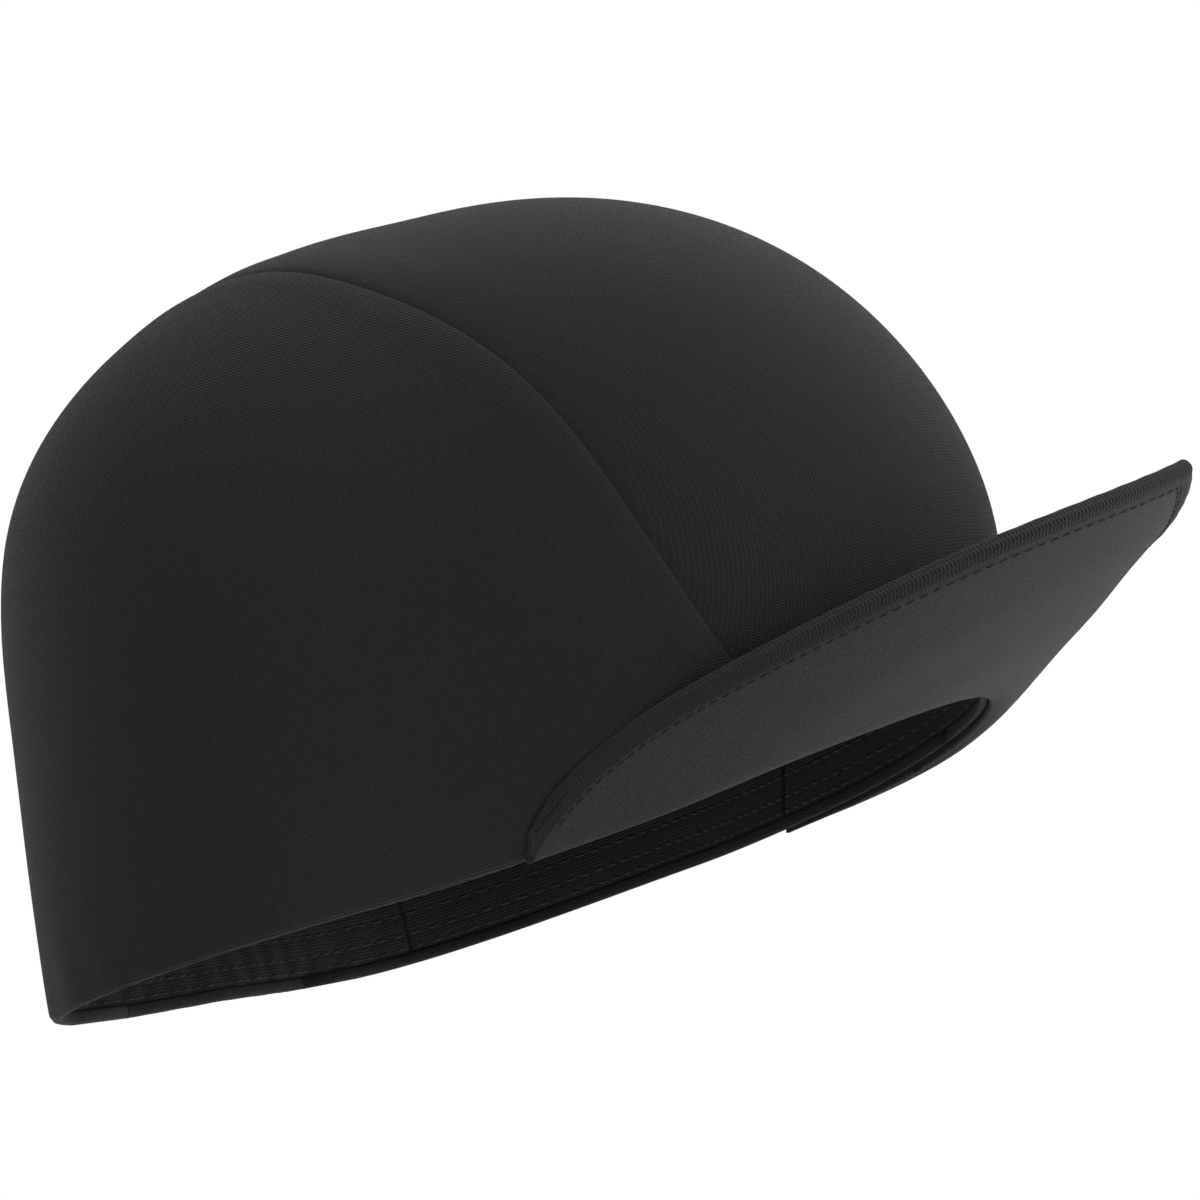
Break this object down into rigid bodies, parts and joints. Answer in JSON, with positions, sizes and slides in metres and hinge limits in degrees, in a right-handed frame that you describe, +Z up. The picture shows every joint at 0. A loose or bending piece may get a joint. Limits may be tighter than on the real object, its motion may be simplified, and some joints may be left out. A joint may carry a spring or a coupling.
{
  "type": "soft under-helmet cap",
  "caption": "Soft close-fitting dome-shaped cap of knitted panels with a short turned-up brim that flips up and down.",
  "frame": {"origin": "middle of the head opening, on the level of the lowest point of the hem", "axes": "front and brim face -Y, +X is the wearer's left, +Z is up out of the head opening"},
  "size_m": [0.1634, 0.2401, 0.137],
  "materials": {
    "crown_knit": "matte fine knit",
    "band_knit": "matte knit",
    "elastic": "ribbed elastic",
    "thread": "twisted thread",
    "brim_knit": "matte fine knit",
    "brim_lining": "matte fine weave",
    "brim_board": "matte"
  },
  "bodies": {
    "crown": {"band_stitching_front": "thread", "band_stitching_left": "thread", "band_stitching_rear": "thread", "band_stitching_right": "thread", "brim_wing_left_board": "brim_board", "brim_wing_left_edge_roll": "brim_knit", "brim_wing_left_top_cover": "brim_knit", "brim_wing_left_under_cover": "brim_lining", "brim_wing_right_board": "brim_board", "brim_wing_right_edge_roll": "brim_knit", "brim_wing_right_top_cover": "brim_knit", "brim_wing_right_under_cover": "brim_lining", "crown_panel_center": "crown_knit", "crown_panel_left": "crown_knit", "crown_panel_right": "crown_knit", "inner_band_front": "band_knit", "inner_band_left": "band_knit", "inner_band_rear": "band_knit", "inner_band_right": "band_knit", "rear_elastic": "elastic", "seam_allowance_left": "crown_knit", "seam_allowance_right": "crown_knit"},
    "brim_flap": {"brim_flap_board": "brim_board", "brim_flap_edge_roll": "brim_knit", "brim_flap_top_cover": "brim_knit", "brim_flap_under_cover": "brim_lining"}
  },
  "joints": [
    {"name": "brim_flip", "type": "hinge", "parent": "crown", "child": "brim_flap", "pos_m": [0, -0.103, 0.0185], "axis": [-1, 0, 0], "range_deg": [-30, 35]}
  ]
}
